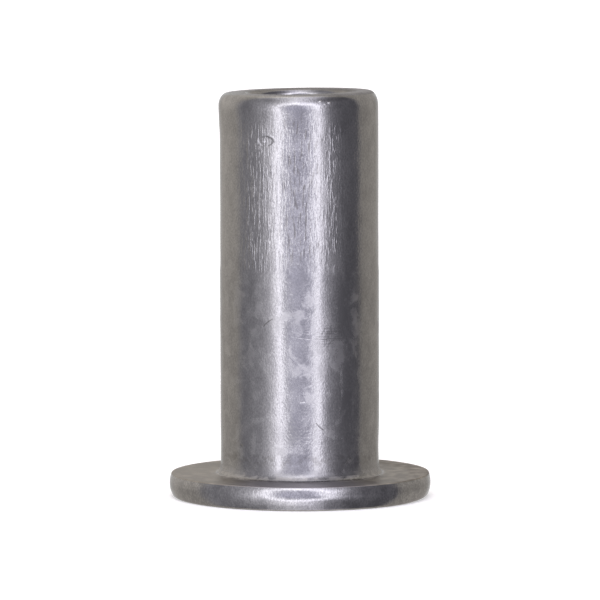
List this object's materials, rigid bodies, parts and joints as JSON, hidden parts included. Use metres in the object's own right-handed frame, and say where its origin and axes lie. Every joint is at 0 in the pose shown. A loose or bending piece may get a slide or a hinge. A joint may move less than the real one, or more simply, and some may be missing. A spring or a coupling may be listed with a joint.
{
  "type": "rivet nut",
  "caption": "Open-end rivet nut with a flat round head: a plain tubular shank that folds up behind thin sheet, and a threaded tip that then holds a screw.",
  "frame": {"origin": "centre of the head's outer face, which the part stands on", "axes": "+Z along the axis from the head to the threaded tip; the part is round, so X and Y are free"},
  "size_m": [0.0104, 0.0104, 0.0163],
  "materials": {
    "bare_aluminium": "bare, as formed: satin, with drawn streaks and dull patches of oxide"
  },
  "bodies": {
    "root": {"rivet_nut_body": "bare_aluminium"}
  },
  "joints": []
}
